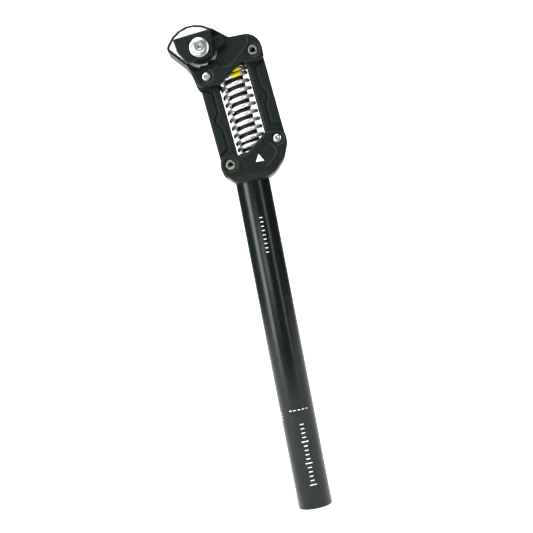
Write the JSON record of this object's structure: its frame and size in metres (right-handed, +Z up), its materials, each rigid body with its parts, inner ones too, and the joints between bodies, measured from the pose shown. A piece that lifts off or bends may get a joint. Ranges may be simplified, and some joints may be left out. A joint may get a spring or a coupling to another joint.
{
  "type": "suspension seatpost",
  "caption": "Seat tube with a sprung parallelogram head: two links, a coil spring and a tilting saddle rail clamp.",
  "frame": {"origin": "centre of the seat tube's lower end", "axes": "+Z up the seat tube, +X to the front of the bicycle"},
  "size_m": [0.0916, 0.0668, 0.4545],
  "materials": {
    "anodised_aluminium": "satin black anodised",
    "polished_steel": "polished stainless",
    "zinc_steel": "bright zinc plate",
    "spring_steel": "polished and plated, with a yellow paint mark",
    "bush_polymer": "moulded bearing polymer",
    "rubber": "matt black elastomer"
  },
  "bodies": {
    "root": {"front_lower_axle": "zinc_steel", "front_lower_axle_screw": "polished_steel", "lower_head": "anodised_aluminium", "lower_top_out_pad": "rubber", "rear_lower_axle": "zinc_steel", "rear_lower_axle_screw": "polished_steel", "seat_tube": "anodised_aluminium"},
    "front_link": {"front_link": "anodised_aluminium", "front_lower_bush_left": "bush_polymer", "front_lower_bush_right": "bush_polymer", "front_upper_bush_left": "bush_polymer", "front_upper_bush_right": "bush_polymer", "upper_elastomer": "rubber", "upper_spring_washer": "zinc_steel"},
    "rear_link": {"lower_elastomer": "rubber", "lower_spring_washer": "zinc_steel", "main_spring": "spring_steel", "rear_link": "anodised_aluminium", "rear_lower_bush_left": "bush_polymer", "rear_lower_bush_right": "bush_polymer", "rear_upper_bush_left": "bush_polymer", "rear_upper_bush_right": "bush_polymer"},
    "upper_head": {"front_upper_axle": "zinc_steel", "front_upper_axle_screw": "polished_steel", "rear_upper_axle": "zinc_steel", "rear_upper_axle_screw": "polished_steel", "upper_head": "anodised_aluminium", "upper_top_out_pad": "rubber"},
    "saddle_clamp": {"clamp_bolt": "polished_steel", "clamp_nut": "polished_steel", "clamp_washer_left": "polished_steel", "clamp_washer_right": "polished_steel", "inner_jaw_left": "anodised_aluminium", "inner_jaw_right": "anodised_aluminium", "outer_jaw_left": "anodised_aluminium", "outer_jaw_right": "anodised_aluminium"}
  },
  "joints": [
    {"name": "suspension_travel", "type": "hinge", "parent": "root", "child": "front_link", "pos_m": [0.02944, 0, 0.33799], "axis": [0, -1, 0], "range_deg": [0, 34], "stiffness_Nm_per_rad": 55, "springref_deg": -14.32, "deforming": ["main_spring", "lower_elastomer", "upper_elastomer"]},
    {"name": "rear_link_swing", "type": "hinge", "parent": "root", "child": "rear_link", "pos_m": [-0.0167, 0, 0.3221], "axis": [0, -1, 0], "range_deg": [0, 34.5]},
    {"name": "upper_head_level", "type": "hinge", "parent": "front_link", "child": "upper_head", "pos_m": [0.02278, 0, 0.42072], "axis": [0, -1, 0], "range_deg": [-34.5, 0]},
    {"name": "saddle_tilt", "type": "hinge", "parent": "upper_head", "child": "saddle_clamp", "pos_m": [-0.02436, 0, 0.43033], "axis": [0, -1, 0], "range_deg": [-30, 8]}
  ],
  "couplings": [
    {"joint": "rear_link_swing", "follows": "suspension_travel", "ratio": 1},
    {"joint": "upper_head_level", "follows": "suspension_travel", "ratio": -1}
  ]
}
